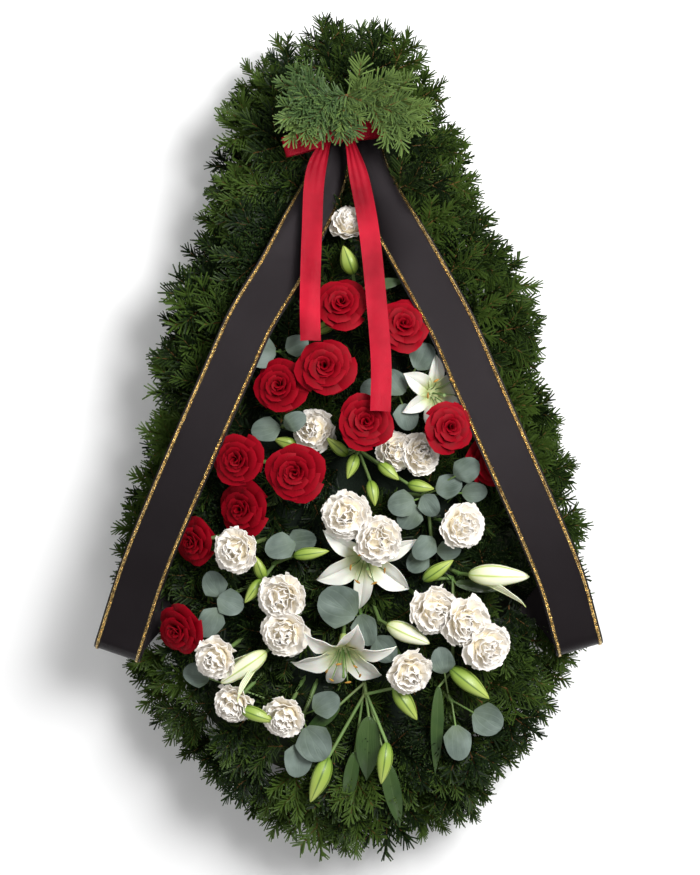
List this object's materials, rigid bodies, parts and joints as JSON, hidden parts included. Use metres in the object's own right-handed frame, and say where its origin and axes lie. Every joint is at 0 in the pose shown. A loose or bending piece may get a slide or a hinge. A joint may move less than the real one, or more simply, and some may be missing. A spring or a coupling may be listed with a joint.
{
  "type": "funeral flower arrangement",
  "caption": "Teardrop funeral spray of red roses, white carnations and lilies on fir, with black gold-edged mourning ribbons and a red satin bow, lying on its flat back.",
  "frame": {"origin": "middle of the flat back that the arrangement lies on", "axes": "+X to the viewer's right, +Y towards the bow at the narrow end, +Z out of the flowers' face"},
  "size_m": [0.6817, 1.098, 0.2137],
  "materials": {
    "pad": "rough wrapped base",
    "foam": "floral foam",
    "fir": "matt needles",
    "fir_pale": "matt needles, paler",
    "rose": "velvety petals",
    "carnation": "soft frilled petals",
    "lily": "waxy petals",
    "white_bud": "waxy closed petals",
    "lily_green": "smooth leaf",
    "eucalyptus": "powdery leaf",
    "ribbon": "matt satin weave",
    "satin": "satin"
  },
  "bodies": {
    "root": {"base_pad": "pad", "floral_foam": "foam", "fir_bough_01": "fir", "fir_bough_02": "fir", "fir_bough_03": "fir", "fir_bough_04": "fir", "fir_bough_05": "fir", "fir_bough_06": "fir", "fir_bough_07": "fir", "fir_bough_08": "fir", "fir_bough_09": "fir", "fir_bough_10": "fir", "fir_bough_11": "fir", "fir_top_spray": "fir_pale", "mourning_ribbon_left": "ribbon", "mourning_ribbon_right": "ribbon", "satin_bow": "satin", "rose_01": "rose", "rose_02": "rose", "rose_03": "rose", "rose_04": "rose", "rose_05": "rose", "rose_06": "rose", "rose_07": "rose", "rose_08": "rose", "rose_09": "rose", "rose_10": "rose", "rose_11": "rose", "rose_12": "rose", "carnation_01": "carnation", "carnation_02": "carnation", "carnations_03_04": "carnation", "carnations_05_06": "carnation", "carnation_07": "carnation", "carnation_08": "carnation", "carnations_09_10": "carnation", "carnation_11": "carnation", "carnations_12_13": "carnation", "carnations_14_16": "carnation", "carnation_17": "carnation", "lily_middle": "lily", "lily_lower": "lily", "lily_upper": "lily", "white_bud_left": "white_bud", "white_bud_middle": "white_bud", "white_bud_right": "white_bud", "lily_stem_top": "lily_green", "lily_stem_middle": "lily_green", "lily_stem_left": "lily_green", "lily_stem_right": "lily_green", "lily_stem_bottom": "lily_green", "eucalyptus_01": "eucalyptus", "eucalyptus_02": "eucalyptus", "eucalyptus_03": "eucalyptus", "eucalyptus_04": "eucalyptus", "eucalyptus_05": "eucalyptus", "eucalyptus_06": "eucalyptus", "eucalyptus_07": "eucalyptus", "eucalyptus_08": "eucalyptus", "eucalyptus_09": "eucalyptus"}
  },
  "joints": []
}
